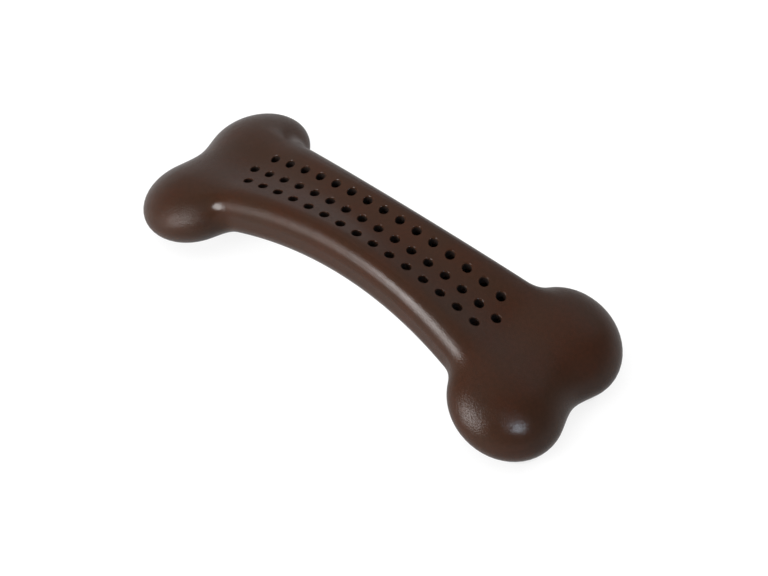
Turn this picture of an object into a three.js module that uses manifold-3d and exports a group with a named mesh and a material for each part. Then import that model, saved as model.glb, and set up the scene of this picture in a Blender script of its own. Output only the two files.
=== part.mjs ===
// A fillable dog bone: a perforated hollow body with four knobs, closed underneath by a screwed panel that
// carries a hinged fill hatch with a slide catch. Millimetres, +Z up, the bone lies along X, and Z = 0 is
// the floor under its four feet.

import * as THREE from 'three';
import { mergeVertices } from 'three/addons/utils/BufferGeometryUtils.js';
import Module from 'manifold-3d';

const wasm = await Module();
wasm.setup();

// Body
const ARCH_RADIUS = 182;
const SHAFT_HALF_WIDTH = 16.9;
const SHAFT_THICKNESS = 20;
const SHOULDER_RADIUS = 8;
const SIDE_RADIUS = 275;
const KNOB_X = 73.1;
const KNOB_Y = 16.7;
const KNOB_RADIUS = 20.35;
const KNOB_HALF_HEIGHT = 13.25;
const KNOB_TILT = 0.236;
const KNOB_BLEND = 4.2;
const NOTCH_BLEND = 13.2;
const WALL = 3;

// Dish along the top, and the three rows of holes in it
const DISH_RADIUS = 24;
const DISH_DEPTH = 2.2;
const DISH_BLEND = 2;
const HOLE_DIAMETER = 3.5;
const HOLE_PITCH = 7.5;
const ROW_SPACING = 7.4;
const HOLES_PER_ROW = [15, 16, 15];
const HOLES_SHIFT_X = -1.4;

// Underside panel: its outline is the plan of the bone, set in from the edge
const NOTCH_RADIUS = 9;
const NECK_RADIUS = 14;
const PANEL_INSET = 4;
const PANEL_RECESS = 0.4;
const PANEL_THICKNESS = 4.4;
const LEDGE_WIDTH = 2.7;
const LEDGE_THICKNESS = 2;
const GASKET_WIDTH = 1.6;
const GASKET_THICKNESS = 1;

// Feet, and the screws and posts above them
const FOOT_RADIUS = 6.5;
const FOOT_STANDOFF = 0.8;
const FOOT_THICKNESS = 2.9;
const FOOT_SKIN = 0.8;
const POST_RADIUS = 4.2;
const SCREW_RADIUS = 1.5;
const SCREW_LENGTH = 11;
const HEAD_RADIUS = 2.9;
const HEAD_THICKNESS = 1.8;
const DRIVE_RADIUS = 1.3;
const DRIVE_DEPTH = 1;

// Fill hatch, its hinge and its catch
const HATCH_LENGTH = 62;
const HATCH_WIDTH = 18;
const HATCH_CORNER = 4;
const HATCH_THICKNESS = 1.8;
const HATCH_SEAT = 2.6;
const SEAL_WIDTH = 1.6;
const SEAL_THICKNESS = 0.8;
const BARREL_RADIUS = 2.4;
const BARREL_WIDTH = 7;
const LUG_WIDTH = 3;
const PIN_RADIUS = 1.2;
const STRAP_LENGTH = 9;
const STRAP_THICKNESS = 2.2;
const CATCH_SETBACK = 7;
const BOLT_LENGTH = 13;
const BOLT_WIDTH = 7;
const BOLT_THICKNESS = 1.6;
const BOLT_TRAVEL = 4;
const HEAD_LENGTH = 3;
const RAIL_WALL = 1.2;
const RAIL_LIP = 0.9;
const RIB_HEIGHT = 0.9;
const KEEPER_LENGTH = 3;

// Clearances
const SEAT_GAP = 0.3;
const RUNNING_GAP = 0.3;
const BITE = 0.6;
const FACET_ALLOWANCE = 0.07;

// Shape of the bone

const clamp01 = (value) => Math.min(1, Math.max(0, value));

function smoothMin(a, b, blend) {
  const h = clamp01(0.5 + 0.5 * (b - a) / blend);
  return b + (a - b) * h - blend * h * (1 - h);
}

const archDrop = (x) => ARCH_RADIUS - Math.sqrt(ARCH_RADIUS ** 2 - x * x);

const halfThickness = SHAFT_THICKNESS / 2;
const knobReach = Math.hypot(KNOB_HALF_HEIGHT, KNOB_TILT * KNOB_RADIUS);
const knobZ = FOOT_STANDOFF + knobReach;
const middleZ = knobZ + archDrop(KNOB_X);
const centreZ = (x) => middleZ - archDrop(x);
const footX = KNOB_X + KNOB_TILT * KNOB_RADIUS ** 2 / knobReach;

// An oblate knob, sheared so that it leans with the arch; about the distance from its surface
function knobField(dx, dy, z) {
  const u = dx / KNOB_RADIUS;
  const v = dy / KNOB_RADIUS;
  const w = (z - knobZ + KNOB_TILT * dx) / KNOB_HALF_HEIGHT;
  const r = Math.hypot(u, v, w);
  const slope = Math.hypot(u / KNOB_RADIUS, v / KNOB_RADIUS, w / KNOB_HALF_HEIGHT);
  return r * (r - 1) / Math.max(slope, 1e-6);
}

// About the distance from the bone's surface, negative inside
function boneField(x, y, z) {
  const ax = Math.abs(x);
  const dx = ax - KNOB_X;
  const height = z - centreZ(x);
  const knobs = smoothMin(knobField(dx, y - KNOB_Y, z), knobField(dx, y + KNOB_Y, z), NOTCH_BLEND);
  const halfWidth = SHAFT_HALF_WIDTH + x * x / (2 * SIDE_RADIUS);
  const aside = Math.abs(y) - halfWidth + SHOULDER_RADIUS;
  const over = Math.abs(height) - halfThickness + SHOULDER_RADIUS;
  const corner = Math.hypot(Math.max(aside, 0), Math.max(over, 0));
  const section = corner + Math.min(Math.max(aside, over), 0) - SHOULDER_RADIUS;
  const shaft = Math.max(section, dx);
  const dishZ = halfThickness - DISH_DEPTH + DISH_RADIUS;
  const dish = DISH_RADIUS - Math.hypot(y, height - dishZ);
  const dished = -smoothMin(-shaft, -dish, DISH_BLEND);
  return smoothMin(knobs, dished, KNOB_BLEND);
}

// First point along a ray from inside where the field reaches the offset
function castRay(origin, direction, offset) {
  const at = (t) => origin.clone().addScaledVector(direction, t);
  const outside = (t) => {
    const p = at(t);
    return boneField(p.x, p.y, p.z) > offset;
  };
  let far = 0.5;
  while (!outside(far) && far < 200) {
    far += 0.5;
  }
  let near = far - 0.5;
  for (let i = 0; i < 24; i += 1) {
    const middle = (near + far) / 2;
    if (outside(middle)) {
      far = middle;
    } else {
      near = middle;
    }
  }
  return at(far);
}

// Closed skin of the bone at an offset: rings round the arched centre line, a fan of rings over each end.
// The rings crowd towards the knobs, and the points of a ring towards the sides.
function boneSkin(offset, stations, fan, around) {
  const crowd = (u) => 1.4 * u - 0.4 * u ** 3;
  const spineEnd = KNOB_X - 4.5;
  const rings = [];
  for (let i = 1; i < fan; i += 1) {
    rings.push([-spineEnd, -Math.PI / 2 + (Math.PI / 2) * i / fan]);
  }
  for (let i = 0; i <= stations; i += 1) {
    rings.push([spineEnd * crowd(2 * i / stations - 1), 0]);
  }
  for (let i = 1; i < fan; i += 1) {
    rings.push([spineEnd, (Math.PI / 2) * i / fan]);
  }
  const points = [];
  for (const [x, lean] of rings) {
    const origin = new THREE.Vector3(x, 0, centreZ(x));
    for (let j = 0; j < around; j += 1) {
      const even = 2 * Math.PI * j / around;
      const turn = even - 0.24 * Math.sin(2 * even);
      const direction = new THREE.Vector3(
        Math.sin(lean),
        Math.cos(lean) * Math.cos(turn),
        Math.cos(lean) * Math.sin(turn),
      );
      points.push(castRay(origin, direction, offset));
    }
  }
  const start = points.length;
  for (const sign of [-1, 1]) {
    const origin = new THREE.Vector3(sign * spineEnd, 0, centreZ(spineEnd));
    points.push(castRay(origin, new THREE.Vector3(sign, 0, 0), offset));
  }
  const index = [];
  for (let i = 0; i < rings.length - 1; i += 1) {
    for (let j = 0; j < around; j += 1) {
      const k = (j + 1) % around;
      const a = i * around + j;
      const b = i * around + k;
      const c = b + around;
      const d = a + around;
      if (points[a].distanceTo(points[c]) < points[b].distanceTo(points[d])) {
        index.push(a, b, c, a, c, d);
      } else {
        index.push(a, b, d, b, c, d);
      }
    }
  }
  const last = (rings.length - 1) * around;
  for (let j = 0; j < around; j += 1) {
    const k = (j + 1) % around;
    index.push(start, k, j);
    index.push(start + 1, last + j, last + k);
  }
  const geometry = new THREE.BufferGeometry().setFromPoints(points);
  geometry.setIndex(index);
  return geometry;
}

// Closed solids and their joins

function solidOf(geometry) {
  const bare = new THREE.BufferGeometry();
  bare.setAttribute('position', geometry.getAttribute('position'));
  if (geometry.getIndex()) {
    bare.setIndex(geometry.getIndex());
  }
  const merged = mergeVertices(bare, 1e-4);
  const mesh = new wasm.Mesh({
    numProp: 3,
    vertProperties: new Float32Array(merged.getAttribute('position').array),
    triVerts: new Uint32Array(merged.getIndex().array),
  });
  return new wasm.Manifold(mesh);
}

function geometryOf(solid) {
  const mesh = solid.getMesh();
  const geometry = new THREE.BufferGeometry();
  geometry.setAttribute('position', new THREE.BufferAttribute(new Float32Array(mesh.vertProperties), 3));
  geometry.setIndex(new THREE.BufferAttribute(new Uint32Array(mesh.triVerts), 1));
  geometry.computeVertexNormals();
  return geometry;
}

const block = (x0, x1, y0, y1, z0, z1) => new THREE.BoxGeometry(x1 - x0, y1 - y0, z1 - z0)
  .translate((x0 + x1) / 2, (y0 + y1) / 2, (z0 + z1) / 2);

const rod = (radius, z0, z1, sides) => new THREE.CylinderGeometry(radius, radius, z1 - z0, sides)
  .rotateX(Math.PI / 2)
  .translate(0, 0, (z0 + z1) / 2);

const crossRod = (radius, width, sides) => new THREE.CylinderGeometry(radius, radius, width, sides);

function upright(points, z0, z1) {
  const geometry = new THREE.ExtrudeGeometry(new THREE.Shape(points), {
    depth: z1 - z0,
    bevelEnabled: false,
  });
  return geometry.translate(0, 0, z0);
}

// A profile drawn in XZ, made solid across Y
function across(profile, width) {
  const geometry = new THREE.ExtrudeGeometry(new THREE.Shape(profile), {
    depth: width,
    bevelEnabled: false,
  });
  return geometry.rotateX(Math.PI / 2).translate(0, width / 2, 0);
}

// Plan outlines

function arc(centre, radius, from, to, segments) {
  const points = [];
  for (let i = 0; i <= segments; i += 1) {
    const a = from + (to - from) * i / segments;
    points.push(new THREE.Vector2(centre.x + radius * Math.cos(a), centre.y + radius * Math.sin(a)));
  }
  return points;
}

// Plan of the bone set in by a distance: notch, knob, neck and side arcs keep their centres
function bonePlan(inset) {
  const knob = new THREE.Vector2(KNOB_X, KNOB_Y);
  const notchX = KNOB_X + Math.sqrt((NOTCH_RADIUS + KNOB_RADIUS) ** 2 - KNOB_Y ** 2);
  const notch = new THREE.Vector2(notchX, 0);
  const side = new THREE.Vector2(0, SHAFT_HALF_WIDTH + SIDE_RADIUS);
  const toKnob = new THREE.Vector2().subVectors(knob, side);
  const span = toKnob.length();
  const fromSide = SIDE_RADIUS - NECK_RADIUS;
  const fromKnob = KNOB_RADIUS + NECK_RADIUS;
  const along = (fromSide ** 2 - fromKnob ** 2 + span ** 2) / (2 * span);
  const off = Math.sqrt(fromSide ** 2 - along ** 2);
  const unit = toKnob.clone().normalize();
  const neck = new THREE.Vector2(
    side.x + unit.x * along + unit.y * off,
    side.y + unit.y * along - unit.x * off,
  );
  if (neck.x > knob.x) {
    neck.set(side.x + unit.x * along - unit.y * off, side.y + unit.y * along + unit.x * off);
  }
  const angle = (from, to) => Math.atan2(to.y - from.y, to.x - from.x);
  const quarter = [
    ...arc(notch, NOTCH_RADIUS + inset, Math.PI, angle(notch, knob), 3),
    ...arc(knob, KNOB_RADIUS - inset, angle(knob, notch), angle(knob, neck), 12).slice(1),
    ...arc(neck, NECK_RADIUS + inset, angle(neck, knob), angle(side, neck), 3).slice(1),
    ...arc(side, SIDE_RADIUS + inset, angle(side, neck), -Math.PI / 2, 6).slice(1),
  ];
  const half = [...quarter];
  for (const p of quarter.slice(0, -1).reverse()) {
    half.push(new THREE.Vector2(-p.x, p.y));
  }
  const outline = [...half];
  for (const p of half.slice(1, -1).reverse()) {
    outline.push(new THREE.Vector2(p.x, -p.y));
  }
  return outline;
}

// Rounded rectangle of the hatch, grown or set in by a distance
function hatchPlan(grow) {
  const x = HATCH_LENGTH / 2 - HATCH_CORNER;
  const y = HATCH_WIDTH / 2 - HATCH_CORNER;
  const r = HATCH_CORNER + grow;
  const q = Math.PI / 2;
  const points = [
    ...arc(new THREE.Vector2(x, y), r, 0, q, 4),
    ...arc(new THREE.Vector2(-x, y), r, q, 2 * q, 4),
    ...arc(new THREE.Vector2(-x, -y), r, 2 * q, 3 * q, 4),
    ...arc(new THREE.Vector2(x, -y), r, 3 * q, 4 * q, 4),
  ];
  const steps = 8;
  const edge = (from, to) => Array.from({ length: steps - 1 }, (_, i) => from.clone()
    .lerp(to, (i + 1) / steps));
  return [
    ...points.slice(0, 5),
    ...edge(points[4], points[5]),
    ...points.slice(5, 15),
    ...edge(points[14], points[15]),
    ...points.slice(15),
  ];
}

// Layers that follow the underside of the bone. Its facets reach as far out as the round surface.

const bone = solidOf(boneSkin(FACET_ALLOWANCE, 20, 12, 40));
const raised = (height) => bone.translate([0, 0, height]);
const column = (outline) => solidOf(upright(outline, -5, 80));
const layer = (shape, low, high) => shape.intersect(raised(low)).subtract(raised(high));
const under = (shape, high) => shape.subtract(raised(high));

const panelTop = PANEL_RECESS + PANEL_THICKNESS;
const gasketLow = panelTop + SEAT_GAP;
const gasketHigh = gasketLow + GASKET_THICKNESS;
const ledgeLow = gasketHigh + SEAT_GAP;
const ledgeHigh = ledgeLow + LEDGE_THICKNESS;
const throatInset = PANEL_INSET + LEDGE_WIDTH;
const gasketInset = PANEL_INSET + (LEDGE_WIDTH - GASKET_WIDTH) / 2;

// Knob places, one per screw and foot
const corners = [[1, -1], [1, 1], [-1, 1], [-1, -1]]
  .map(([sx, sy]) => new THREE.Vector3(sx * footX, sy * KNOB_Y, 0));
const footTop = FOOT_THICKNESS;
const footFloor = footTop + SEAT_GAP;

const at = (geometry, place) => solidOf(geometry.clone().translate(place.x, place.y, place.z));

// Perforated body: chamber, throat to it, rebate for the panel, posts for the screws
function shellSolid() {
  const chamber = solidOf(boneSkin(-WALL, 18, 5, 20)).intersect(raised(ledgeHigh));
  let shell = bone.subtract(chamber);
  shell = shell.subtract(under(column(bonePlan(PANEL_INSET)), ledgeLow));
  shell = shell.subtract(under(column(bonePlan(throatInset)), ledgeHigh + 1));
  const post = rod(POST_RADIUS, 0, knobZ + knobReach, 20);
  const postSpace = bone.intersect(raised(panelTop + SEAT_GAP));
  const pilot = rod(SCREW_RADIUS + RUNNING_GAP, 0, footFloor + SCREW_LENGTH + 1, 12);
  for (const place of corners) {
    shell = shell.add(at(post, place).intersect(postSpace));
    shell = shell.subtract(at(pilot, place));
  }
  HOLES_PER_ROW.forEach((count, row) => {
    const y = (row - 1) * ROW_SPACING;
    for (let i = 0; i < count; i += 1) {
      const x = (i - (count - 1) / 2) * HOLE_PITCH + HOLES_SHIFT_X;
      const top = centreZ(x) + halfThickness;
      const drill = rod(HOLE_DIAMETER / 2, top - DISH_DEPTH - WALL - 3, top + 3, 8);
      shell = shell.subtract(at(drill, new THREE.Vector3(x, y, 0)));
    }
  });
  return shell;
}

// Hinge axis below the panel, at the end of the hatch
const hinge = new THREE.Vector3(-(HATCH_LENGTH / 2 + BARREL_RADIUS + SEAT_GAP), 0, 0);
const undersideZ = (x) => centreZ(x) - halfThickness + PANEL_RECESS;
hinge.z = undersideZ(hinge.x) - BARREL_RADIUS - RUNNING_GAP;

// The catch slides along the slope of the arch near the free end of the hatch
const catchX = HATCH_LENGTH / 2 - CATCH_SETBACK;
const catchSlope = Math.asin(catchX / ARCH_RADIUS);
const onCatch = (geometry) => solidOf(geometry.rotateY(catchSlope)
  .translate(catchX, 0, undersideZ(catchX)));
const boltTop = -RUNNING_GAP - 0.2;
const boltLow = boltTop - BOLT_THICKNESS;
const boltTip = CATCH_SETBACK - 1;
const boltTail = boltTip - BOLT_LENGTH;
const railInner = BOLT_WIDTH / 2 + RUNNING_GAP;
const railOuter = railInner + RAIL_WALL;
const railTail = boltTail + HEAD_LENGTH + BOLT_TRAVEL + RUNNING_GAP;
const railTip = railTail + 6;

// Panel with the fill opening, hinge lugs, keeper loop and foot sockets
function panelSolid() {
  let panel = layer(column(bonePlan(PANEL_INSET + SEAT_GAP)), PANEL_RECESS, panelTop);
  const seat = PANEL_RECESS + HATCH_THICKNESS + SEAL_THICKNESS + 2 * SEAT_GAP;
  panel = panel.subtract(under(column(hatchPlan(0)), seat));
  panel = panel.subtract(under(column(hatchPlan(-HATCH_SEAT)), panelTop + 1));
  const lugY = BARREL_WIDTH / 2 + RUNNING_GAP + LUG_WIDTH / 2;
  const bore = solidOf(crossRod(PIN_RADIUS + RUNNING_GAP, HATCH_WIDTH * 2, 16)
    .translate(hinge.x, 0, hinge.z));
  const rise = undersideZ(hinge.x) + BITE;
  for (const side of [-1, 1]) {
    const web = block(
      hinge.x - BARREL_RADIUS,
      hinge.x + BARREL_RADIUS - SEAT_GAP,
      side * lugY - LUG_WIDTH / 2,
      side * lugY + LUG_WIDTH / 2,
      hinge.z,
      rise,
    );
    const round = crossRod(BARREL_RADIUS, LUG_WIDTH, 20).translate(hinge.x, side * lugY, hinge.z);
    panel = panel.add(solidOf(web)).add(solidOf(round));
  }
  panel = panel.subtract(bore);
  const keeperX = CATCH_SETBACK + RUNNING_GAP * 2;
  const barLow = boltLow - RUNNING_GAP - RAIL_LIP;
  for (const side of [-1, 1]) {
    const y0 = side > 0 ? railInner : -railOuter;
    const leg = block(keeperX, keeperX + KEEPER_LENGTH, y0, y0 + RAIL_WALL, barLow, BITE);
    panel = panel.add(onCatch(leg));
  }
  const bar = block(keeperX, keeperX + KEEPER_LENGTH, -railOuter, railOuter, barLow, barLow + RAIL_LIP);
  panel = panel.add(onCatch(bar));
  const socket = rod(FOOT_RADIUS + SEAT_GAP, -5, footFloor, 28);
  const clearance = rod(SCREW_RADIUS + RUNNING_GAP, 0, 20, 12);
  for (const place of corners) {
    panel = panel.subtract(at(socket, place)).subtract(at(clearance, place));
  }
  return panel;
}

// Lid of the fill opening with its hinge strap, barrel and the rails of the catch
function hatchSolid() {
  let hatch = layer(column(hatchPlan(-SEAT_GAP)), PANEL_RECESS, PANEL_RECESS + HATCH_THICKNESS);
  const strapX = hinge.x + STRAP_LENGTH;
  const strapZ = undersideZ(strapX) + BITE;
  const rootZ = hinge.z + BARREL_RADIUS - BITE;
  const strap = across([
    new THREE.Vector2(hinge.x, rootZ - STRAP_THICKNESS),
    new THREE.Vector2(strapX, strapZ - STRAP_THICKNESS),
    new THREE.Vector2(strapX, strapZ),
    new THREE.Vector2(hinge.x, rootZ),
  ], BARREL_WIDTH);
  const barrel = crossRod(BARREL_RADIUS, BARREL_WIDTH, 20).translate(hinge.x, 0, hinge.z);
  const bore = crossRod(PIN_RADIUS + RUNNING_GAP, BARREL_WIDTH * 2, 16).translate(hinge.x, 0, hinge.z);
  hatch = hatch.add(solidOf(strap)).add(solidOf(barrel)).subtract(solidOf(bore));
  const lipHigh = boltLow - RUNNING_GAP;
  for (const side of [-1, 1]) {
    const y0 = side > 0 ? railInner : -railOuter;
    const lip0 = side > 0 ? railInner - RAIL_LIP : -railOuter;
    const rail = block(railTail, railTip, y0, y0 + RAIL_WALL, lipHigh - RAIL_LIP, BITE);
    const lip = block(railTail, railTip, lip0, lip0 + RAIL_WALL + RAIL_LIP, lipHigh - RAIL_LIP, lipHigh);
    hatch = hatch.add(onCatch(rail)).add(onCatch(lip));
  }
  const stop = block(
    boltTail - RUNNING_GAP - RAIL_WALL,
    boltTail - RUNNING_GAP,
    -railOuter,
    railOuter,
    boltLow,
    BITE,
  );
  return hatch.add(onCatch(stop));
}

// Slide bolt: a flat tongue, a wider head that stops on the rails, ribs for the thumb
function catchSolid() {
  const half = BOLT_WIDTH / 2;
  let bolt = onCatch(block(boltTail, boltTip, -half, half, boltLow, boltTop));
  bolt = bolt.add(onCatch(block(boltTail, boltTail + HEAD_LENGTH, -railOuter, railOuter, boltLow, boltTop)));
  const ribHalf = half - RAIL_LIP - RUNNING_GAP;
  for (let i = 0; i < 3; i += 1) {
    const x = boltTail + 1 + i * 2;
    const rib = block(x, x + 1, -ribHalf, ribHalf, boltLow - RIB_HEIGHT, boltLow + BITE);
    bolt = bolt.add(onCatch(rib));
  }
  return bolt;
}

// Pan head screw pointing up, with a drive recess
function screwSolid() {
  const headLow = footTop - HEAD_THICKNESS;
  const profile = [
    new THREE.Vector2(0, headLow),
    new THREE.Vector2(HEAD_RADIUS - 0.6, headLow),
    new THREE.Vector2(HEAD_RADIUS, headLow + 0.6),
    new THREE.Vector2(HEAD_RADIUS, footTop),
    new THREE.Vector2(SCREW_RADIUS, footTop),
    new THREE.Vector2(SCREW_RADIUS, footFloor + SCREW_LENGTH - 2),
    new THREE.Vector2(0, footFloor + SCREW_LENGTH),
  ];
  const body = solidOf(new THREE.LatheGeometry(profile, 16).rotateX(Math.PI / 2));
  return body.subtract(solidOf(rod(DRIVE_RADIUS, headLow - 1, headLow + DRIVE_DEPTH, 6)));
}

// Soft plug over a screw head, flat underneath
function footSolid() {
  const chamfer = 0.5;
  const profile = [
    new THREE.Vector2(0, 0),
    new THREE.Vector2(FOOT_RADIUS - chamfer, 0),
    new THREE.Vector2(FOOT_RADIUS, chamfer),
    new THREE.Vector2(FOOT_RADIUS, footTop),
    new THREE.Vector2(HEAD_RADIUS + SEAT_GAP, footTop),
    new THREE.Vector2(HEAD_RADIUS + SEAT_GAP, FOOT_SKIN),
    new THREE.Vector2(0, FOOT_SKIN),
  ];
  return solidOf(new THREE.LatheGeometry(profile, 28).rotateX(Math.PI / 2));
}

// Scene

const paint = (color, roughness, metalness) => new THREE.MeshStandardMaterial({ color, roughness, metalness });
const brown = paint(0x3f2d27, 0.5, 0);
const panelBrown = paint(0x33251f, 0.55, 0);
const hatchBrown = paint(0x4a352c, 0.5, 0);
const black = paint(0x1c1a19, 0.8, 0);
const grey = paint(0x55504c, 0.5, 0);
const steel = paint(0xb9b9b9, 0.3, 1);

function piece(name, geometry, material) {
  const mesh = new THREE.Mesh(geometry, material);
  mesh.name = name;
  return mesh;
}

const root = new THREE.Group();
root.name = 'fillable_bone';
root.add(piece('bone_shell', geometryOf(shellSolid()), brown));
root.add(piece('base_panel', geometryOf(panelSolid()), panelBrown));

const panelRing = column(bonePlan(gasketInset)).subtract(column(bonePlan(gasketInset + GASKET_WIDTH)));
root.add(piece('panel_gasket', geometryOf(layer(panelRing, gasketLow, gasketHigh)), black));

const screwGeometry = geometryOf(screwSolid());
const footGeometry = geometryOf(footSolid());
corners.forEach((place, i) => {
  const screw = piece(`base_screw_${i + 1}`, screwGeometry, steel);
  const foot = piece(`foot_${i + 1}`, footGeometry, black);
  screw.position.copy(place);
  foot.position.copy(place);
  root.add(screw, foot);
});

const pinLength = BARREL_WIDTH + 2 * (LUG_WIDTH + RUNNING_GAP);
const pin = piece('hinge_pin', crossRod(PIN_RADIUS, pinLength, 16), steel);
pin.position.copy(hinge);
root.add(pin);

// The hatch turns about the hinge axis, so its group stands there
const hatchGroup = new THREE.Group();
hatchGroup.name = 'hatch';
hatchGroup.position.copy(hinge);
const onHinge = (solid) => geometryOf(solid).translate(-hinge.x, -hinge.y, -hinge.z);
hatchGroup.add(piece('fill_hatch', onHinge(hatchSolid()), hatchBrown));

const sealLow = PANEL_RECESS + HATCH_THICKNESS + SEAT_GAP;
const sealInset = (HATCH_SEAT - SEAL_WIDTH) / 2;
const sealRing = column(hatchPlan(-sealInset)).subtract(column(hatchPlan(-sealInset - SEAL_WIDTH)));
hatchGroup.add(piece('hatch_gasket', onHinge(layer(sealRing, sealLow, sealLow + SEAL_THICKNESS)), black));
hatchGroup.add(piece('hatch_catch', onHinge(catchSolid()), grey));
root.add(hatchGroup);

export default root;
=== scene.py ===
"""Fillable dog bone: the looks of a perforated hollow bone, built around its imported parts."""

import math
from types import SimpleNamespace

import bmesh
import bpy
import numpy as np
from bpy.props import FloatProperty, FloatVectorProperty, IntVectorProperty, PointerProperty
from mathutils import Matrix, Vector


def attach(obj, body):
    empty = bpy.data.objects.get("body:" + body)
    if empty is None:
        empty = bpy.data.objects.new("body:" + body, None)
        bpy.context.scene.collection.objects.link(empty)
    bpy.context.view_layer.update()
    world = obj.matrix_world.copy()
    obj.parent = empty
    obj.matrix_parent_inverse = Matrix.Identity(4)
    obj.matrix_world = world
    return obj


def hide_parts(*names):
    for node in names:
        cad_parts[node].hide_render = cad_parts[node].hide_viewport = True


bl_info = {
    "name": "Fillable dog bone",
    "version": (1, 0, 0),
    "blender": (4, 5, 0),
    "location": "View3D > Sidebar > Bone",
    "description": "Builds the moulded surfaces, finishes and stage of a fillable dog bone",
    "category": "Add Mesh",
}

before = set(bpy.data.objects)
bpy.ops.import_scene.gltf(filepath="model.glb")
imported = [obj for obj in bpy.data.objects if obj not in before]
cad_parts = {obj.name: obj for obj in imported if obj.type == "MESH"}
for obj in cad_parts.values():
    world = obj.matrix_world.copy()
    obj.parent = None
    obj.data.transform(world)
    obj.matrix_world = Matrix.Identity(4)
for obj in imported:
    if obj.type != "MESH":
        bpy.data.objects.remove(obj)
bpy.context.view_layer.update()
BORE_DEPTH = "bore_depth"
GRAIN = "grain"
MM = 0.001
MERGE_DISTANCE = 0.0005 * MM
SMALL_ROUND = 0.3 * MM  # rounding of small edges
CUTTER_LIFT = 0.05 * MM  # makes a cutter's rounded rim cross the surface clearly
OVERSHOOT = 2 * MM  # how far a cutter starts outside the surface
SPARE = 1 * MM  # how far a bore runs on past the piece that it passes
HAIR = 0.001 * MM  # keeps a half-round end from closing to a point
BLOCK_ROUND = 0.25 * MM
BLOCK_CORNER_SHARE = 1.2  # corner of a block in plan, over its rounding
BORE_SIDES = 32
BOLT_PLAY = 0.2 * MM
BOLT_SETBACK = 1 * MM
FEET = [f"foot_{i}" for i in range(1, 5)]
SCREWS = [f"base_screw_{i}" for i in range(1, 5)]


# Settings

def length(key, millimetres, description):
    """A length named after its key, kept in metres and shown in the scene's own unit."""
    return FloatProperty(
        name=key.replace("_", " ").capitalize(), description=description, default=millimetres * MM,
        subtype="DISTANCE", unit="LENGTH")


def colour(name, description, value):
    """A linear colour, shown as a swatch."""
    return FloatVectorProperty(
        name=name, description=description, default=value, size=3, min=0, max=1, subtype="COLOR")


# Millimetres and what they measure
LENGTHS = {
    "arch_radius": (182, "Radius of the shaft's arched centre line"),
    "shaft_half_width": (16.9, "Half the width at mid length"),
    "shaft_thickness": (20, "Height of the shaft's section"),
    "shoulder_radius": (8, "Rounding of the shaft's edges"),
    "side_radius": (275, "Radius of the waisted sides in plan"),
    "knob_x": (73.1, "Distance of a knob's middle from mid length"),
    "knob_y": (16.7, "Distance of a knob's middle from the long axis"),
    "knob_radius": (20.35, "Radius of a knob in plan"),
    "knob_half_height": (13.25, "Half the height of a knob"),
    "knob_blend": (4.2, "Softness of the joint between knobs and shaft"),
    "notch_blend": (13.2, "Softness of the notch between two knobs"),
    "wall": (3, "Thickness of the moulded wall"),
    "dish_radius": (24, "Radius of the dish along the top"),
    "dish_depth": (2.2, "Depth of the dish along the top"),
    "dish_blend": (2, "Softness of the dish's edge"),
    "hole_diameter": (3.5, "Diameter of a treat hole"),
    "hole_pitch": (7.5, "Distance between holes in a row"),
    "row_spacing": (7.4, "Distance between the rows of holes"),
    "hole_round": (0.35, "Rounding of the rim of a hole"),
    "notch_radius": (9, "Radius of the panel's outline in the notch"),
    "neck_radius": (14, "Radius of the panel's outline at the neck"),
    "panel_inset": (4, "Distance of the panel from the edge of the bone in plan"),
    "panel_recess": (0.4, "Depth at which the panel lies under the surface"),
    "panel_thickness": (4.4, "Thickness of the underside panel"),
    "ledge_width": (2.7, "Width of the ledge that the panel closes on"),
    "ledge_thickness": (2, "Thickness of that ledge"),
    "gasket_width": (1.6, "Width of the panel's sealing ring"),
    "gasket_thickness": (1, "Thickness of the panel's sealing ring"),
    "foot_radius": (6.5, "Radius of a foot"),
    "foot_standoff": (0.8, "How far a foot stands below the knob"),
    "foot_thickness": (2.9, "Thickness of a foot"),
    "foot_skin": (0.8, "Rubber under the screw head"),
    "post_radius": (4.2, "Radius of a screw post"),
    "screw_radius": (1.5, "Radius of a screw's shank"),
    "screw_length": (11, "Length of a screw's shank"),
    "screw_head_radius": (2.9, "Radius of a screw's head"),
    "hatch_length": (62, "Length of the fill hatch"),
    "hatch_width": (18, "Width of the fill hatch"),
    "hatch_corner": (4, "Corner radius of the fill hatch"),
    "hatch_thickness": (1.8, "Thickness of the fill hatch"),
    "hatch_seat": (2.6, "Width of the seat under the hatch's edge"),
    "seal_width": (1.6, "Width of the hatch's sealing ring"),
    "seal_thickness": (0.8, "Thickness of the hatch's sealing ring"),
    "barrel_radius": (2.4, "Radius of the hinge's barrel and lugs"),
    "barrel_width": (7, "Width of the hinge's barrel"),
    "lug_width": (3, "Width of a hinge lug"),
    "pin_radius": (1.2, "Radius of the hinge pin"),
    "strap_length": (9, "Reach of the strap from the hinge onto the hatch"),
    "strap_thickness": (2.2, "Thickness of the hinge strap"),
    "catch_setback": (7, "Place of the catch from the free end of the hatch"),
    "bolt_length": (13, "Length of the slide bolt"),
    "bolt_width": (7, "Width of the slide bolt"),
    "bolt_thickness": (1.6, "Thickness of the slide bolt"),
    "bolt_travel": (4, "Travel of the slide bolt"),
    "bolt_head": (3, "Length of the wide end of the bolt"),
    "rail_wall": (1.2, "Wall of the bolt's rails and keeper"),
    "rail_lip": (0.9, "Lip of the rails over the bolt"),
    "rail_length": (6, "Length of the bolt's rails"),
    "rib_height": (0.9, "Height of the thumb ribs"),
    "keeper_length": (3, "Length of the keeper loop"),
    "gap": (0.3, "Gap between pieces that meet"),
    "bite": (0.6, "How far an added lug or rail sinks into its plate"),
    "edge_round": (0.4, "Rounding of the plates' edges"),
}


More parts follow.
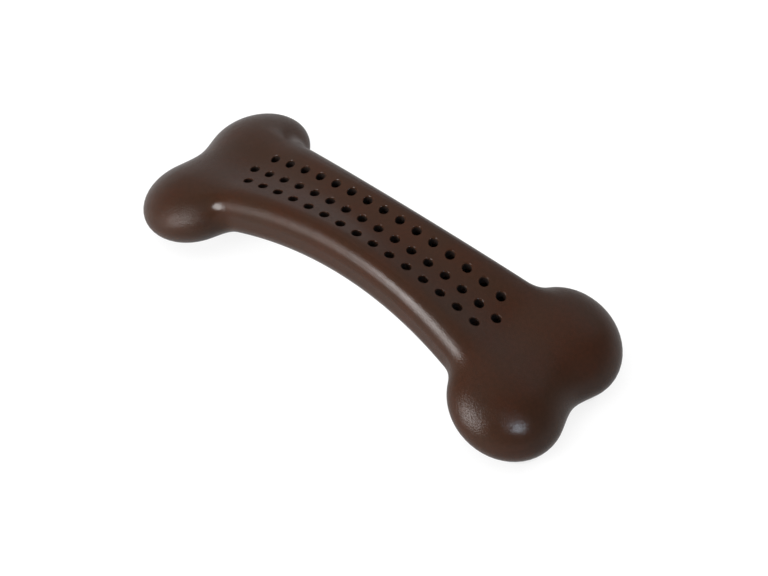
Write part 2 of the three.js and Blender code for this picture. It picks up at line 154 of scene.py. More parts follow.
class BoneSizes(bpy.types.PropertyGroup):
    """Sizes of the bone and of the pieces on its underside: a property for each length, and three others."""

    __annotations__ = {key: length(key, *row) for key, row in LENGTHS.items()}
    knob_tilt: FloatProperty(
        name="Knob tilt", description="Slope by which the knobs lean with the arch", default=0.236)
    holes_per_row: IntVectorProperty(
        name="Holes per row", description="Count of holes in each row", size=3, default=(15, 16, 15))
    holes_shift: FloatVectorProperty(
        name="Hole grid shift", description="Place of the hole grid from the middle of the bone",
        size=2, default=(-1.4 * MM, 0.0), subtype="XYZ", unit="LENGTH")


class BoneFinishes(bpy.types.PropertyGroup):
    """Colours of the bone's finishes."""

    shell_colour: colour("Shell", "Brown of the moulded body", (0.036, 0.0160, 0.0086))
    shell_mottle: colour("Shell mottle", "Redder brown in the body's mottling", (0.042, 0.0148, 0.0072))
    panel_colour: colour("Panel", "Brown of the underside panel", (0.030, 0.0125, 0.0080))
    hatch_colour: colour("Hatch", "Brown of the fill hatch", (0.052, 0.0230, 0.0140))
    catch_colour: colour("Catch", "Grey of the slide bolt", (0.095, 0.085, 0.078))
    rubber_colour: colour("Soft rubber", "Black of the feet and sealing rings", (0.012, 0.011, 0.010))
    steel_colour: colour("Steel", "Colour of the pin and screws", (0.56, 0.55, 0.53))


# Shape of the bone

def smooth_min(a, b, blend):
    """The lesser of two fields, rounded over where they differ by less than the blend."""
    h = np.clip(0.5 + 0.5 * (b - a) / blend, 0, 1)
    return b + (a - b) * h - blend * h * (1 - h)


class BoneForm:
    """The bone as a field over space, with the heights and outlines that its pieces follow."""

    STRIDE = 0.5 * MM
    MOST_STRIDES = 120
    HALVINGS = 22
    LEAST_SLOPE = 1e-6
    SPINE_SETBACK = 4.5 * MM
    STATION_CROWDING = 0.4
    TURN_CROWDING = 0.3
    NOTCH_STEPS, KNOB_STEPS, NECK_STEPS, SIDE_STEPS = 10, 44, 12, 34
    HATCH_STEPS = (60, 12)
    # The skin's grain: places along the shaft and how matt they are, the same for a knob by its distance from
    # mid length, the share of that on the knobs at +X, and the polished fold with the flanks that it lies on
    SHAFT_PLACES = (-50 * MM, -15 * MM, 0.0, 25 * MM, 33 * MM, 46 * MM)
    SHAFT_GRAIN = (0.62, 0.36, 0.21, 0.11, 0.24, 0.46)
    KNOB_PLACES = (76 * MM, 85 * MM)
    KNOB_GRAIN = (1.0, 0.3)
    RIGHT_KNOB_SHARE = 0.68
    FOLD_REACH = 1.25
    FOLD_POLISH = 0.95
    FLANK = (15 * MM, 19 * MM)

    def __init__(self, s):
        self.s = s
        self.half = s.shaft_thickness / 2
        reach = math.hypot(s.knob_half_height, s.knob_tilt * s.knob_radius)
        self.knob_z = s.foot_standoff + reach
        self.knob_top = self.knob_z + reach
        self.middle_z = self.knob_z + self.arch_drop(s.knob_x)
        self.foot_x = s.knob_x + s.knob_tilt * s.knob_radius ** 2 / reach
        self.foot_floor = s.foot_thickness + s.gap
        self.panel_top = s.panel_recess + s.panel_thickness
        self.gasket_low = self.panel_top + s.gap
        self.ledge_low = self.gasket_low + s.gasket_thickness + s.gap
        self.ledge_high = self.ledge_low + s.ledge_thickness
        self.hatch_high = s.panel_recess + s.hatch_thickness
        self.hinge_x = -(s.hatch_length / 2 + s.barrel_radius + s.gap)
        self.hinge_z = self.underside(self.hinge_x) - s.barrel_radius - s.gap
        self.catch_x = s.hatch_length / 2 - s.catch_setback
        half = (s.hatch_length / 2, s.hatch_width / 2)
        self.hatch_outline = RoundedBox(*half, s.hatch_corner, *self.HATCH_STEPS)

    def corners(self):
        """Places of the four feet, in the order of their names."""
        return [(sx * self.foot_x, sy * self.s.knob_y) for sx, sy in ((1, -1), (1, 1), (-1, 1), (-1, -1))]

    def arch_drop(self, x):
        """Fall of the arched centre line below its middle: radius less the arc's height there."""
        return self.s.arch_radius - np.sqrt(self.s.arch_radius ** 2 - x * x)

    def centre_z(self, x):
        """Height of the arched centre line."""
        return self.middle_z - self.arch_drop(x)

    def underside(self, x):
        """Height of the panel's outer face on the long axis of the shaft."""
        return self.centre_z(x) - self.half + self.s.panel_recess

    def knob_field(self, dx, dy, z):
        """About the distance from a knob: an oblate ball, sheared in Z so that it leans with the arch."""
        u = dx / self.s.knob_radius
        v = dy / self.s.knob_radius
        w = (z - self.knob_z + self.s.knob_tilt * dx) / self.s.knob_half_height
        r = np.sqrt(u * u + v * v + w * w)
        slope = np.sqrt(((u * u) + (v * v)) / self.s.knob_radius ** 2 + (w / self.s.knob_half_height) ** 2)
        return r * (r - 1) / np.maximum(slope, self.LEAST_SLOPE)

    def parts(self, points):
        """About the distances from the knobs and from the shaft. The shaft is arched and waisted, its section
        is a rounded rectangle, and the dish is cut along its top."""
        s = self.s
        x, y, z = points[..., 0], points[..., 1], points[..., 2]
        dx = np.abs(x) - s.knob_x
        height = z - self.centre_z(x)
        knobs = smooth_min(
            self.knob_field(dx, y - s.knob_y, z), self.knob_field(dx, y + s.knob_y, z), s.notch_blend)
        half_width = s.shaft_half_width + x * x / (2 * s.side_radius)
        across = np.abs(y) - half_width + s.shoulder_radius
        over = np.abs(height) - self.half + s.shoulder_radius
        outside = np.hypot(np.maximum(across, 0), np.maximum(over, 0))
        section = outside + np.minimum(np.maximum(across, over), 0)
        shaft = np.maximum(section - s.shoulder_radius, dx)
        dish = s.dish_radius - np.hypot(y, height - (self.half - s.dish_depth + s.dish_radius))
        return knobs, -smooth_min(-shaft, -dish, s.dish_blend)

    def field(self, points):
        """About the distance from the bone: its knobs blended with its shaft."""
        return smooth_min(*self.parts(points), self.s.knob_blend)

    def grain(self, points):
        """How matt the moulded skin is: the share of shaft and knob at a place mixes their grains, which run
        along the bone, and the fold between the two is polished on the flanks at -X."""
        x, y = points[..., 0], points[..., 1]
        knobs, shaft = self.parts(points)
        lead = (shaft - knobs) / self.s.knob_blend
        flank = np.interp(np.abs(y), self.FLANK, (0.0, 1.0)) * (x < 0)
        fold = np.clip(self.FOLD_REACH - np.abs(lead), 0, 1) * flank
        share = np.clip(0.5 + 0.5 * lead, 0, 1)
        on_knob = np.interp(np.abs(x), self.KNOB_PLACES, self.KNOB_GRAIN)
        on_knob = on_knob * np.where(x < 0, 1.0, self.RIGHT_KNOB_SHARE)
        on_shaft = np.interp(x, self.SHAFT_PLACES, self.SHAFT_GRAIN)
        return (on_shaft + (on_knob - on_shaft) * share) * (1 - self.FOLD_POLISH * fold)

    def cast(self, origin, direction, offset):
        """Where rays from inside the bone first reach an offset: strides bracket it, then it is halved in."""
        far = np.full(origin.shape[:-1], self.STRIDE)
        for _ in range(self.MOST_STRIDES):
            inside = self.field(origin + far[..., None] * direction) <= offset
            if not inside.any():
                break
            far = far + self.STRIDE * inside
        near = far - self.STRIDE
        for _ in range(self.HALVINGS):
            middle = (near + far) / 2
            inside = self.field(origin + middle[..., None] * direction) <= offset
            near = np.where(inside, middle, near)
            far = np.where(inside, far, middle)
        return origin + far[..., None] * direction

    def face(self, plan, way):
        """Height of the surface above (way 1) or below (way -1) points of the plan."""
        origin = np.stack([plan[..., 0], plan[..., 1], self.centre_z(plan[..., 0])], -1)
        direction = np.broadcast_to(np.array([0.0, 0.0, way]), origin.shape)
        return self.cast(origin, direction, 0.0)[..., 2]

    def top(self, plan):
        """Height of the top over points of the plan."""
        return self.face(plan, 1.0)

    def bottom(self, plan):
        """Height of the underside over points of the plan."""
        return self.face(plan, -1.0)

    def skin(self, offset, stations, fan, around):
        """Closed skin at an offset from the surface, over two parameters: the station along the arched
        spine, which leans over in a fan at the ends, and the turn around it. A grid point is where its ray
        from the spine meets the surface. Stations crowd towards the knobs and turns towards the sides."""
        end = self.s.knob_x - self.SPINE_SETBACK
        u = np.linspace(-1, 1, stations + 1)
        crowd = self.STATION_CROWDING
        along = end * ((1 + crowd) * u - crowd * u ** 3)
        x = np.concatenate([np.full(fan, -end), along, np.full(fan, end)])
        lean_in = np.linspace(-math.pi / 2, 0, fan + 1)[:-1]
        lean = np.concatenate([lean_in, np.zeros(stations + 1), -lean_in[::-1]])[:, None]
        even = np.arange(around) * 2 * math.pi / around
        turn = even - self.TURN_CROWDING * np.sin(2 * even)
        direction = np.stack(np.broadcast_arrays(
            np.sin(lean), np.cos(lean) * np.cos(turn), np.cos(lean) * np.sin(turn)), -1)
        spine = np.stack([x, np.zeros(len(x)), self.centre_z(x)], -1)
        return self.cast(np.broadcast_to(spine[:, None], direction.shape), direction, offset)

    def plan(self, inset):
        """Plan outline of the bone set in by a distance, anticlockwise: arcs round the notch, knob, neck
        and side, which keep their centres while their radii grow or shrink by the inset."""
        s = self.s
        knob = np.array([s.knob_x, s.knob_y])
        notch = np.array([s.knob_x + math.sqrt((s.notch_radius + s.knob_radius) ** 2 - s.knob_y ** 2), 0])
        side = np.array([0, s.shaft_half_width + s.side_radius])
        span = np.linalg.norm(knob - side)
        unit = (knob - side) / span
        from_side = s.side_radius - s.neck_radius
        from_knob = s.knob_radius + s.neck_radius
        along = (from_side ** 2 - from_knob ** 2 + span ** 2) / (2 * span)
        off = math.sqrt(from_side ** 2 - along ** 2)
        neck = side + along * unit + off * np.array([unit[1], -unit[0]])

        def angle(a, b):
            """Direction from one point to another."""
            return math.atan2(b[1] - a[1], b[0] - a[0])

        right = np.concatenate([
            arc(notch, s.notch_radius + inset, math.pi, angle(notch, knob), self.NOTCH_STEPS),
            arc(knob, s.knob_radius - inset, angle(knob, notch), angle(knob, neck), self.KNOB_STEPS),
            arc(neck, s.neck_radius + inset, angle(neck, knob), angle(side, neck), self.NECK_STEPS),
            arc(side, s.side_radius + inset, angle(side, neck), -math.pi / 2, self.SIDE_STEPS),
        ])
        middle = np.array([[0.0, side[1] - s.side_radius - inset]])
        tip = right[:1]
        upper = np.concatenate([right, middle, right[:0:-1] * (-1, 1)])
        return np.concatenate([upper, tip * (-1, 1), upper[:0:-1] * (1, -1)])

    def plan_core(self, outline):
        """The line inside the plan that its filling closes on."""
        end = self.s.knob_x - self.SPINE_SETBACK
        return np.stack([np.clip(outline[:, 0], -end, end), np.zeros(len(outline))], -1)


def arc(centre, radius, start, end, steps):
    """Points of an arc, without its last one."""
    a = np.linspace(start, end, steps + 1)[:-1]
    return np.asarray(centre) + radius * np.stack([np.cos(a), np.sin(a)], -1)


class RoundedBox:
    """Outline of a rectangle with round corners, set in by a distance, with finer steps along its sides."""

    CORNER_STEPS = 8

    def __init__(self, half_x, half_y, corner, along=1, across=1, middle=(0.0, 0.0)):
        self.half = (half_x, half_y)
        self.corner = corner
        self.steps = (along, across)
        self.middle = np.array(middle)

    def plan(self, inset):
        """Outline, anticlockwise: four quarter arcs joined by straight sides."""
        centres = (np.array(self.half) - self.corner) * ((1, 1), (-1, 1), (-1, -1), (1, -1))
        radius = self.corner - inset
        runs = []
        for i, centre in enumerate(centres):
            start, end = i * math.pi / 2, (i + 1) * math.pi / 2
            runs.append(arc(centre, radius, start, end, self.CORNER_STEPS))
            side = np.linspace(centre, centres[(i + 1) % 4], self.steps[i % 2] + 1)[:-1]
            runs.append(side + radius * np.array([math.cos(end), math.sin(end)]))
        return np.concatenate(runs) + self.middle

    def plan_core(self, outline):
        """The line inside the outline that its filling closes on."""
        spare = np.array(self.half) - min(self.half)
        return np.clip(outline - self.middle, -spare, spare) + self.middle


# Meshes from grids

def grid_faces(rows, columns, closed=False):
    """Quads between the rows of a grid whose columns close on themselves, and its rows too if asked."""
    here = np.arange(rows * columns).reshape(rows, columns)
    beside = np.roll(here, -1, axis=1)
    quads = np.stack([here, beside, np.roll(beside, -1, axis=0), np.roll(here, -1, axis=0)], -1)
    return (quads if closed else quads[:-1]).reshape(-1, 4)


def add_object(name, data):
    """Object with its data, linked to the scene."""
    obj = bpy.data.objects.new(name, data)
    bpy.context.scene.collection.objects.link(obj)
    return obj


def mesh_object(name, points, faces):
    """Object at the origin made of points and faces, with coincident points merged."""
    mesh = bpy.data.meshes.new(name)
    mesh.from_pydata(points.reshape(-1, 3).tolist(), [], faces)
    cleaner = bmesh.new()
    cleaner.from_mesh(mesh)
    bmesh.ops.remove_doubles(cleaner, verts=cleaner.verts, dist=MERGE_DISTANCE)
    cleaner.to_mesh(mesh)
    cleaner.free()
    return add_object(name, mesh)


def grid_object(name, points, closed=False):
    """Closed object of rows of points; its first and last row are single points, or the rows close too."""
    return mesh_object(name, points, grid_faces(*points.shape[:2], closed).tolist())


def quarter(radius, steps):
    """Sine and cosine over a quarter turn, each times a radius."""
    a = np.linspace(0, math.pi / 2, steps + 1)
    return radius * np.sin(a), radius * np.cos(a)


def circle(radius, sides):
    """Rows of points round a circle, one row for each radius."""
    turn = np.arange(sides) * 2 * math.pi / sides
    return np.stack([radius[:, None] * np.cos(turn), radius[:, None] * np.sin(turn)], -1)


def rounded_edge(inset, low, high, radius, steps=5):
    """Edge profile of a plate as (inset, rise) pairs: two quarter circles joined by an upright side."""
    sine, cosine = quarter(radius, steps)
    under = np.stack([inset + radius - sine, low + radius - cosine], -1)
    over = np.stack([inset + radius - cosine, high - radius + sine], -1)
    return np.concatenate([under, over])


def flared_edge(inset, high, radius, steps=6):
    """Edge profile of a cutter that leaves a rounded rim at rise 0: from below, inwards round a quarter
    circle to an upright side that ends at the high rise."""
    sine, cosine = quarter(radius, steps)
    rim = np.stack([inset - radius + sine, radius - cosine - CUTTER_LIFT], -1)
    return np.concatenate([[[inset - radius, -OVERSHOOT]], rim, [[inset, high]]])


def raised(plan, height, rise):
    """Points over a plan: each row of the plan stands at its rise over a height above the plan."""
    return np.concatenate([plan, (height(plan) + rise[:, None])[..., None]], -1)


def slab(name, form, edge, height, fill=12):
    """Closed plate: an outline carried along an edge profile of (inset, rise) pairs, with both faces filled
    in to the core line. The rises are counted from a height over the plan."""
    loops = np.stack([form.plan(inset) for inset, _ in edge])
    share = np.linspace(1, 0, fill + 1)[:-1, None, None]
    under = loops[0] + (form.plan_core(loops[0]) - loops[0]) * share
    over = loops[-1] + (form.plan_core(loops[-1]) - loops[-1]) * share[::-1]
    plan = np.concatenate([under, loops, over])
    rise = np.pad(edge[:, 1], fill, mode="edge")
    return grid_object(name, raised(plan, height, rise))


def ring(name, form, section, height):
    """Closed ring: an outline carried round a closed section of (inset, rise) pairs."""
    plan = np.stack([form.plan(inset) for inset, _ in section])
    return grid_object(name, raised(plan, height, section[:, 1]), closed=True)


def ring_section(inset, width, low, thickness, rounding, steps=4):
    """Closed section of a flat ring as (inset, rise) pairs: a rounded edge and the same turned half round."""
    edge = rounded_edge(inset, low, low + thickness, rounding, steps)
    return np.concatenate([edge, (2 * inset + width, 2 * low + thickness) - edge])


def lathe(name, profile, sides):
    """Closed turned form about Z: a profile of (radius, height) pairs, from the axis to the axis, carried
    round a circle."""
    radius, rise = np.asarray(profile, float).T
    return grid_object(name, raised(circle(radius, sides), flat, rise))


def rod(name, radius, low, high, sides, soft=0.0):
    """Closed rod about Z between two heights, with chamfered ends if asked."""
    side = [(radius - soft, low), (radius, low + soft), (radius, high - soft), (radius - soft, high)]
    return lathe(name, [(0, low), *(side if soft else side[1:3]), (0, high)], sides)


def flat(plan):
    """The level plane, as a height over the plan."""
    return np.zeros(plan.shape[:-1])


def place(obj, matrix):
    """Puts an object's mesh in its place; the object stays at the origin."""
    obj.data.transform(matrix)
    return obj


def combine(base, operation, *tools):
    """Cuts, joins or meets a closed object with others, which are used up."""
    for tool in tools:
        before = len(base.data.vertices)
        modifier = base.modifiers.new("combine", "BOOLEAN")
        modifier.operation = operation
        modifier.solver = "MANIFOLD"
        modifier.object = tool
        evaluated = base.evaluated_get(bpy.context.evaluated_depsgraph_get())
        mesh = bpy.data.meshes.new_from_object(evaluated)
        base.modifiers.clear()
        base.data = mesh
        if not mesh.polygons or len(mesh.vertices) == before:
            raise RuntimeError(f"{tool.name} left {base.name} as it was")
        bpy.data.objects.remove(tool)
    return base


def finish_piece(obj, node, body, material, sharp_degrees=32):
    """Gives a piece its finish and its place in the frame."""
    obj.data.materials.clear()
    obj.data.materials.append(material)
    obj.data.shade_smooth()
    obj.data.set_sharp_from_angle(angle=math.radians(sharp_degrees))
    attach(obj, body)
    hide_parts(node)
    return obj


# Finishes

class Nodes:
    """Short way to add and link the nodes of a material or a world."""

    def __init__(self, owner):
        owner.use_nodes = True
        self.tree = owner.node_tree

    def add(self, kind, inputs=None, **settings):
        """A shader node with settings and input values; an input that is a socket is linked."""
        node = self.tree.nodes.new(f"ShaderNode{kind}")
        for key, value in settings.items():
            setattr(node, key, value)
        for key, value in (inputs or {}).items():
            self.put(node.inputs[key], value)
        return node

    def out(self, kind, inputs=None, **settings):
        """First output of a new node."""
        return self.add(kind, inputs, **settings).outputs[0]

    def put(self, socket, value):
        """Links a socket, or sets a plain value."""
        if isinstance(value, bpy.types.NodeSocket):
            self.tree.links.new(value, socket)
        else:
            socket.default_value = value

    def surface(self, shader):
        """Makes a shader the surface of the material or world."""
        self.put(self.tree.get_output_node("ALL").inputs["Surface"], shader)

    def spread(self, value, low, high, start=0.35, end=0.65):
        """Maps a range of a value, if not given the middle of a noise, to another range."""
        return self.out("MapRange", {
            "Value": value, "From Min": start, "From Max": end, "To Min": low, "To Max": high})

    def reckon(self, operation, a, b):
        """Two values put together by an operation."""
        return self.out("Math", {0: a, 1: b}, operation=operation)


class Finish(Nodes):
    """Nodes of a new material whose looks follow the object's own coordinates."""

    def __init__(self, name):
        self.material = bpy.data.materials.new(name)
        super().__init__(self.material)
        self.where = self.add("TexCoord").outputs["Object"]

    def mark(self, name):
        """Value noted on the points of the mesh."""
        return self.add("Attribute", attribute_name=name).outputs["Fac"]

    def noise(self, scale, detail=2.0, where=None):
        """Noise of about 1 / scale metres grain."""
        return self.out("TexNoise", {"Vector": where or self.where, "Scale": scale, "Detail": detail})

    def mix(self, share, a, b):
        """Mix of two colours, through the node's sockets for colours."""
        return self.add("Mix", {0: share, 6: a, 7: b}, data_type="RGBA").outputs[2]

    def bump(self, height, distance, strength, **base):
        """Bump of a height in metres, on top of another normal if given."""
        return self.out("Bump", {"Height": height, "Distance": distance, "Strength": strength, **base})

    def dress(self, colour, roughness, normal, **plain):
        """Plugs the looks into the main shader, with plain values for its other sockets."""
        shader = self.tree.nodes["Principled BSDF"]
        looks = {"Base Color": colour, "Roughness": roughness, "Normal": normal, **plain}
        for key, value in looks.items():
            self.put(shader.inputs[key], value)
        return self.material


def opaque(rgb, share=1.0):
    """Colour, darkened or lightened by a share, with full alpha."""
    return (*(c * share for c in rgb), 1.0)


def shell_finish(finishes):
    """Satin moulded rubber: brown with broad redder clouds and darker specks, on a skin that swells a little
    under a fine grain. The rims of the holes are polished, and the holes are matt inside, where painted shade
    darkens the brown with depth."""
    n = Finish("moulded_brown_rubber")
    brown = finishes.shell_colour
    bore, grain = n.mark(BORE_DEPTH), n.mark(GRAIN)
    clouds = n.spread(n.noise(scale=60, detail=3), low=0, high=1)
    specks = n.spread(n.noise(scale=700), low=0, high=0.4)
    # Painted shade: from 0.3 mm to 0.9 mm deep in a hole, the brown fades to 0.3 of itself, standing in for
    # the shade inside the holes
    inside = n.spread(bore, low=0, high=1, start=0.3 * MM, end=0.9 * MM)
    skin = n.mix(clouds, opaque(brown), opaque(finishes.shell_mottle))
    skin = n.mix(specks, skin, opaque(brown, share=0.8))
    satin = n.spread(n.noise(scale=160, detail=3), low=0.20, high=0.22)
    for change in (
            n.spread(grain, low=-0.05, high=0.02, start=0, end=0.4),
            n.spread(bore, low=0, high=-0.05, start=0, end=0.12 * MM),
            n.spread(bore, low=0, high=0.6, start=0.3 * MM, end=0.7 * MM)):
        satin = n.reckon("ADD", satin, change)
    swell = n.bump(n.noise(scale=190), distance=0.12 * MM, strength=0.6)
    fine = n.bump(n.noise(scale=2200), distance=0.24 * MM, strength=grain, Normal=swell)
    # The painted shade of the holes goes in here, as a darker brown by depth
    return n.dress(n.mix(inside, skin, opaque(brown, share=0.3)), satin, fine, **{"Specular IOR Level": 0.27})


def plastic_finish(name, rgb, roughness):
    """Moulded plastic with a fine spark-eroded grain, clouded a little in tone."""
    n = Finish(name)
    clouds = n.spread(n.noise(scale=90, detail=3), low=0, high=1)
    satin = n.spread(n.noise(scale=300), low=roughness - 0.06, high=roughness + 0.06)
    fine = n.bump(n.noise(scale=2600), distance=0.04 * MM, strength=0.7)
    return n.dress(n.mix(clouds, opaque(rgb, share=0.86), opaque(rgb)), satin, fine)


def rubber_finish(rgb):
    """Matt black rubber with a dusty bloom and a pebbled grain."""
    n = Finish("matt_black_rubber")
    bloom = n.spread(n.noise(scale=220, detail=3), low=0, high=0.6)
    matt = n.spread(n.noise(scale=400), low=0.72, high=0.88)
    pebbles = n.bump(n.noise(scale=1800), distance=0.05 * MM, strength=0.8)
    return n.dress(n.mix(bloom, opaque(rgb), opaque(rgb, share=2.2)), matt, pebbles)


def steel_finish(rgb):
    """Bright steel with fine turning marks across Z and a little tone."""
    n = Finish("turned_steel")
    drawn_out = n.out("Mapping", {"Vector": n.where, "Scale": (300, 300, 5000)})
    marks = n.noise(scale=1, where=drawn_out)
    tone = n.spread(marks, low=0, high=1)
    satin = n.spread(marks, low=0.22, high=0.36)
    turned = n.bump(marks, distance=0.01 * MM, strength=0.5)
    return n.dress(n.mix(tone, opaque(rgb, share=0.85), opaque(rgb)), satin, turned, Metallic=1.0)


# Pieces

class BonePiece:
    """What the operators share: the sizes, the finishes and the bone's form."""

    bl_options = {"REGISTER", "UNDO"}

    def settings(self, context):
        """Sizes, finishes and form of the bone in the scene."""
        scene = context.scene
        return scene.bone_sizes, scene.bone_finishes, BoneForm(scene.bone_sizes)


class BONE_OT_shell(BonePiece, bpy.types.Operator):
    """Moulded body with its chamber, panel rebate, screw posts and treat holes"""

    bl_idname = "bone.shell"
    bl_label = "Shell"

    # Stations, fan and turns of a skin
    SKIN_GRID = (236, 26, 176)
    CHAMBER_GRID = (80, 10, 64)
    HOLE_SIDES = 40
    HOLE_RIM_STEPS = 6
    DRILL_TOP = 1.2 * MM  # how far a drill stands over the surface
    POST_SIDES = 48

    def hole_centres(self, s):
        """Places of the treat holes in plan: staggered rows, each centred on the grid's middle."""
        return np.concatenate([
            np.stack([
                (np.arange(count) - (count - 1) / 2) * s.hole_pitch + s.holes_shift[0],
                np.full(count, (row - 1) * s.row_spacing + s.holes_shift[1])], -1)
            for row, count in enumerate(s.holes_per_row)])

    def mark(self, shell, s, form):
        """Notes for the finish on each point: how deep it lies in a hole, which darkens the holes inside as
        painted shade, and how matt its skin is.
        """
        points = np.empty(len(shell.data.vertices) * 3, np.float32)
        shell.data.vertices.foreach_get("co", points)
        points = points.reshape(-1, 3).astype(float)
        gaps = points[:, None, :2] - self.hole_centres(s)
        reach = s.hole_diameter / 2 + s.hole_round
        near = np.hypot(gaps[..., 0], gaps[..., 1]).min(1) < reach
        near &= points[:, 2] > form.centre_z(points[:, 0])
        depth = np.zeros(len(points))
        depth[near] = np.maximum(form.top(points[near, :2]) - points[near, 2], 0)
        for name, values in ((BORE_DEPTH, depth), (GRAIN, form.grain(points))):
            attribute = shell.data.attributes.new(name, "FLOAT", "POINT")
            attribute.data.foreach_set("value", values.astype(np.float32))

    def hole_cutters(self, s, form):
        """Drills for all holes as one mesh: each a profile with a rounded rim, carried round a circle and
        laid on the height of the top, so that every rim follows the dish."""
        soft = s.hole_round
        bore = s.hole_diameter / 2
        end = -s.wall - OVERSHOOT
        sine, cosine = quarter(soft, self.HOLE_RIM_STEPS)
        radius = np.concatenate([[0, bore, bore], bore + soft - cosine[1:], [bore + soft, 0]])
        rise = np.concatenate([[end, end, -soft], -soft + sine[1:], [self.DRILL_TOP] * 2])
        rise[2:-2] += CUTTER_LIFT
        rim = circle(radius, self.HOLE_SIDES)
        centres = self.hole_centres(s)
        plan = centres[:, None, None, :] + rim
        points = raised(plan, form.top, rise)
        one = grid_faces(len(radius), self.HOLE_SIDES)
        faces = one + np.arange(len(centres))[:, None, None] * rim.shape[0] * rim.shape[1]
        return mesh_object("hole_cutters", points, faces.reshape(-1, 4).tolist())

    def execute(self, context):
        s, finishes, form = self.settings(context)
        shell = grid_object("moulded_shell", form.skin(0.0, *self.SKIN_GRID))
        chamber = grid_object("chamber", form.skin(-s.wall, *self.CHAMBER_GRID))
        floor = grid_object("chamber_floor", form.skin(0.0, *self.CHAMBER_GRID))
        combine(chamber, "INTERSECT", place(floor, Matrix.Translation((0, 0, form.ledge_high))))
        rebate = flared_edge(s.panel_inset, form.ledge_low, s.edge_round)
        throat = rounded_edge(
            s.panel_inset + s.ledge_width, form.ledge_low - SPARE, form.ledge_high + SPARE, SMALL_ROUND)
        combine(
            shell, "DIFFERENCE", chamber, slab("rebate", form, rebate, form.bottom),
            slab("throat", form, throat, form.bottom), self.hole_cutters(s, form))
        wide = s.post_radius
        post_end = form.knob_top - 2 * s.wall
        pilot_end = form.foot_floor + s.screw_length + SPARE
        for x, y in form.corners():
            low = float(form.bottom(np.array([[x, y]]))[0]) + form.gasket_low
            profile = [
                (0, low), (wide - SMALL_ROUND, low), (wide, low + SMALL_ROUND),
                (wide, post_end), (0, post_end)]
            post = lathe("post", profile, self.POST_SIDES)
            pilot = rod("pilot", s.screw_radius + s.gap, low - SPARE, pilot_end, BORE_SIDES)
            spot = Matrix.Translation((x, y, 0))
            combine(shell, "UNION", place(post, spot))
            combine(shell, "DIFFERENCE", place(pilot, spot))
        self.mark(shell, s, form)
        finish_piece(shell, "bone_shell", "bone", shell_finish(finishes))
        return {"FINISHED"}


def catch_place(form):
    """Frame of the catch: at its middle on the panel's face, turned to the slope of the arch."""
    slope = math.asin(form.catch_x / form.s.arch_radius)
    spot = Matrix.Translation((form.catch_x, 0, form.underside(form.catch_x)))
    return spot @ Matrix.Rotation(slope, 4, "Y")


def catch_marks(s):
    """Places along the catch's slide, by name, worked out from the bolt and its travel."""
    top = -s.gap - BOLT_PLAY
    low = top - s.bolt_thickness
    tip = s.catch_setback - BOLT_SETBACK
    tail = tip - s.bolt_length
    inner = s.bolt_width / 2 + s.gap
    rail_tail = tail + s.bolt_head + s.bolt_travel + s.gap
    return SimpleNamespace(
        top=top, low=low, tip=tip, tail=tail, inner=inner, outer=inner + s.rail_wall,
        rail_tail=rail_tail, rail_tip=rail_tail + s.rail_length, lip_high=low - s.gap,
        keeper=s.catch_setback + 2 * s.gap, bar_low=low - s.gap - s.rail_lip)


def rounded_block(name, low, high, rounding=BLOCK_ROUND):
    """Block between two corners with rounded edges, as a slab of a rounded rectangle."""
    low, high = np.array(low), np.array(high)
    half = (high - low) / 2
    outline = RoundedBox(half[0], half[1], rounding * BLOCK_CORNER_SHARE, middle=((low + high) / 2)[:2])
    return slab(name, outline, rounded_edge(0, low[2], high[2], rounding, steps=3), flat, fill=2)


def catch_blocks(form, name, blocks):
    """Rounded blocks between pairs of corners that are given in the catch's frame."""
    return [place(rounded_block(name, low, high), catch_place(form)) for low, high in blocks]


def hinge_place(form, y):
    """Frame whose Z lies along the hinge axis, at a place across the bone."""
    return Matrix.Translation((form.hinge_x, y, form.hinge_z)) @ Matrix.Rotation(-math.pi / 2, 4, "X")


def pin_drill(form):
    """Drill for the bore round the hinge pin."""
    s = form.s
    drill = rod("pin_bore", s.pin_radius + s.gap, -s.hatch_width, s.hatch_width, BORE_SIDES)
    return place(drill, hinge_place(form, 0))


